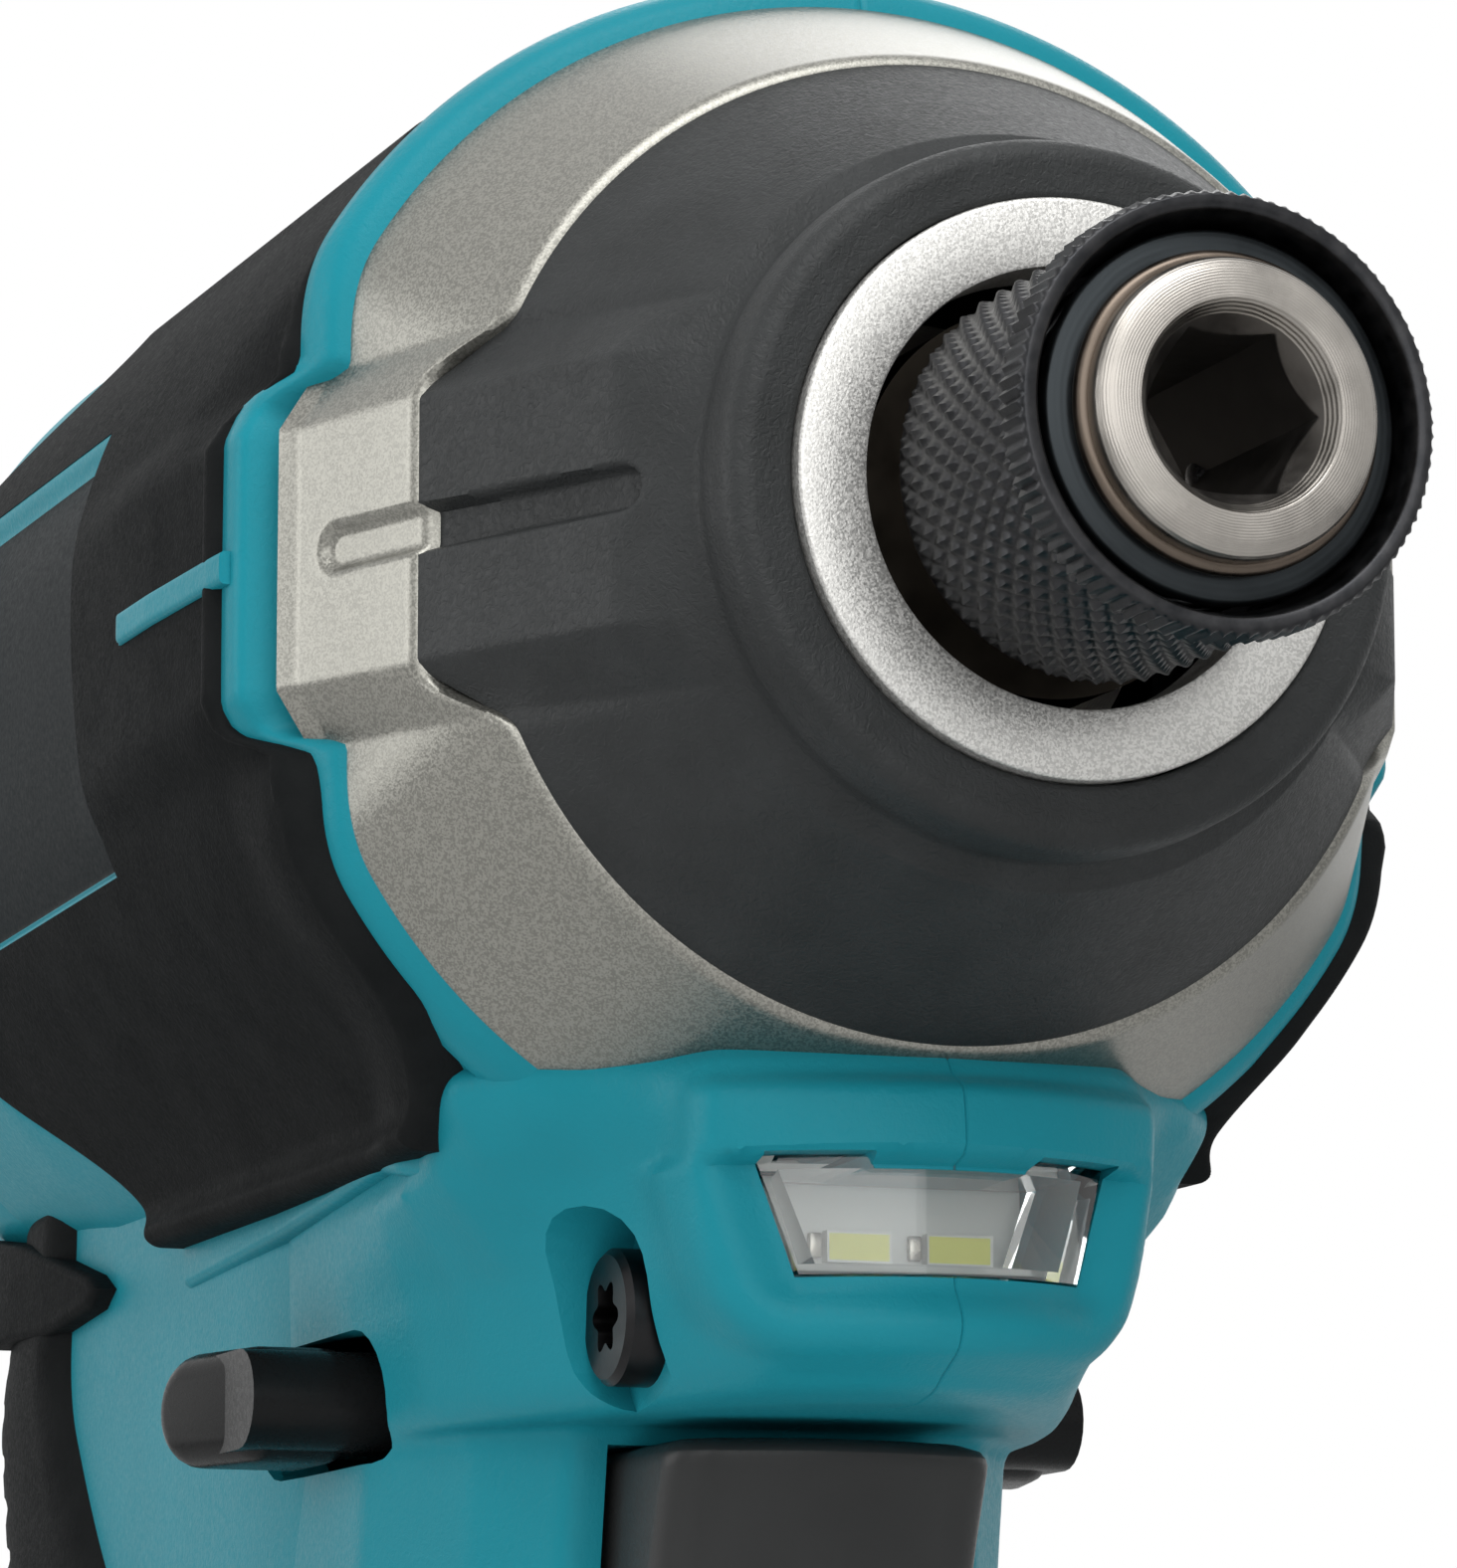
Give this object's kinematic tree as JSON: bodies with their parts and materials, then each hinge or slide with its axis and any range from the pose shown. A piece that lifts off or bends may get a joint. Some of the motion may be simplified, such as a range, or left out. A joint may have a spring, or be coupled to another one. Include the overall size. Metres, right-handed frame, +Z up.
{
  "type": "cordless impact driver",
  "caption": "Pistol-grip cordless impact driver with hexagon bit socket, sliding sleeve, rubber-bumpered hammer case, trigger, reversing lever, lamp and slide-on battery.",
  "frame": {"origin": "centre of the battery's flat underside, on which the tool stands", "axes": "+X along the spindle towards the bit, +Y to the tool's left, +Z up"},
  "size_m": [0.137, 0.0764, 0.238],
  "materials": {
    "teal_plastic": "fine grained moulding",
    "black_rubber": "grained soft rubber",
    "dark_plate": "bare dark satin panel",
    "black_screw": "black oxide",
    "silver_case": "silver flake paint on die cast metal, blasted nose ring",
    "bearing_bronze": "turned bronze",
    "gear_steel": "ground steel",
    "plate_plastic": "moulded",
    "motor_steel": "plated steel",
    "magnet": "sintered",
    "copper": "copper",
    "carbon": "pressed carbon",
    "black_plastic": "satin moulding",
    "board_white": "solder mask",
    "lamp_yellow": "phosphor",
    "clear_lens": "clear moulding",
    "contact": "tinned",
    "lead_red": "insulation",
    "hammer_steel": "hardened dark steel",
    "spring_steel": "spring wire",
    "anvil_steel": "turned hardened steel",
    "washer_steel": "zinc plated",
    "ring_steel": "tempered spring steel",
    "sleeve_black": "black oxide, knurled",
    "cell_wrap": "shrink wrapped cells",
    "button_grey": "satin moulding"
  },
  "bodies": {
    "housing": {"housing_right": "teal_plastic", "housing_left": "teal_plastic", "side_panel_right": "black_rubber", "side_panel_left": "black_rubber", "recess_plate": "dark_plate", "grip_right": "black_rubber", "grip_left": "black_rubber", "rear_cover": "teal_plastic", "rear_cover_screws": "black_screw", "housing_screws": "black_screw", "hammer_case": "silver_case", "nose_bumper": "black_rubber", "anvil_bush": "bearing_bronze", "ring_gear": "gear_steel", "gear_plate": "plate_plastic", "spindle_bearing": "gear_steel", "motor_front_bearing": "gear_steel", "motor_rear_bearing": "gear_steel", "yoke": "motor_steel", "magnets": "magnet", "brush_holder": "black_plastic", "carbon_brushes": "carbon", "lamp_board": "board_white", "lamp_chips": "lamp_yellow", "lamp_lens": "clear_lens", "switch_body": "black_plastic", "terminal_block": "black_plastic", "terminal_blades": "contact", "lead_wires": "lead_red"},
    "armature": {"armature_shaft": "gear_steel", "armature_core": "motor_steel", "windings": "copper", "commutator": "copper", "fan": "black_plastic"},
    "spindle": {"spindle": "gear_steel", "planet_pins": "gear_steel"},
    "planet_upper": {"planet_gear_upper": "gear_steel"},
    "planet_lower": {"planet_gear_lower": "gear_steel"},
    "hammer": {"hammer": "hammer_steel", "cam_balls": "gear_steel", "hammer_spring": "spring_steel"},
    "anvil": {"anvil": "anvil_steel", "detent_balls": "gear_steel", "sleeve_washer": "washer_steel", "retaining_ring": "ring_steel"},
    "sleeve": {"bit_sleeve": "sleeve_black", "sleeve_spring": "spring_steel"},
    "trigger": {"trigger": "black_plastic", "trigger_plunger": "black_plastic", "trigger_spring": "spring_steel"},
    "lever": {"reverse_lever": "black_plastic"},
    "battery": {"battery_lower_case": "black_plastic", "battery_upper_case": "black_plastic", "battery_cells": "cell_wrap", "battery_terminals": "contact", "battery_screws": "black_screw"},
    "button": {"release_button": "button_grey"}
  },
  "joints": [
    {"name": "spindle_spin", "type": "hinge", "parent": "housing", "child": "spindle", "pos_m": [0, 0, 0.2095], "axis": [1, 0, 0], "continuous": true},
    {"name": "rotor_spin", "type": "hinge", "parent": "housing", "child": "armature", "pos_m": [0, 0, 0.2095], "axis": [1, 0, 0], "continuous": true},
    {"name": "planet_upper_spin", "type": "hinge", "parent": "spindle", "child": "planet_upper", "pos_m": [0, 0, 0.22075], "axis": [1, 0, 0], "continuous": true},
    {"name": "planet_lower_spin", "type": "hinge", "parent": "spindle", "child": "planet_lower", "pos_m": [0, 0, 0.19825], "axis": [1, 0, 0], "continuous": true},
    {"name": "anvil_spin", "type": "hinge", "parent": "housing", "child": "anvil", "pos_m": [0, 0, 0.2095], "axis": [1, 0, 0], "continuous": true},
    {"name": "hammer_slide", "type": "slide", "parent": "spindle", "child": "hammer", "axis": [1, 0, 0], "range_m": [-0.007, 0], "stiffness_N_per_m": 4000, "springref_m": 0.004, "deforming": ["hammer_spring"]},
    {"name": "sleeve_slide", "type": "slide", "parent": "anvil", "child": "sleeve", "axis": [1, 0, 0], "range_m": [0, 0.005], "stiffness_N_per_m": 400, "springref_m": -0.004, "deforming": ["sleeve_spring"]},
    {"name": "trigger_slide", "type": "slide", "parent": "housing", "child": "trigger", "axis": [1, 0, 0], "range_m": [-0.007, 0], "stiffness_N_per_m": 600, "springref_m": 0.004, "deforming": ["trigger_spring"]},
    {"name": "lever_swing", "type": "hinge", "parent": "housing", "child": "lever", "pos_m": [-0.0175, 0, 0.1745], "axis": [0, 0, 1], "range_deg": [-8, 8]},
    {"name": "battery_slide", "type": "slide", "parent": "housing", "child": "battery", "axis": [1, 0, 0], "range_m": [0, 0.1]},
    {"name": "button_slide", "type": "slide", "parent": "battery", "child": "button", "axis": [0, 0, 1], "range_m": [-0.0035, 0], "stiffness_N_per_m": 800, "springref_m": 0.003}
  ],
  "couplings": [
    {"joint": "rotor_spin", "follows": "spindle_spin", "ratio": 6.6667},
    {"joint": "planet_upper_spin", "follows": "spindle_spin", "ratio": -2.4286},
    {"joint": "planet_lower_spin", "follows": "spindle_spin", "ratio": -2.4286},
    {"joint": "anvil_spin", "follows": "spindle_spin", "ratio": 1}
  ]
}
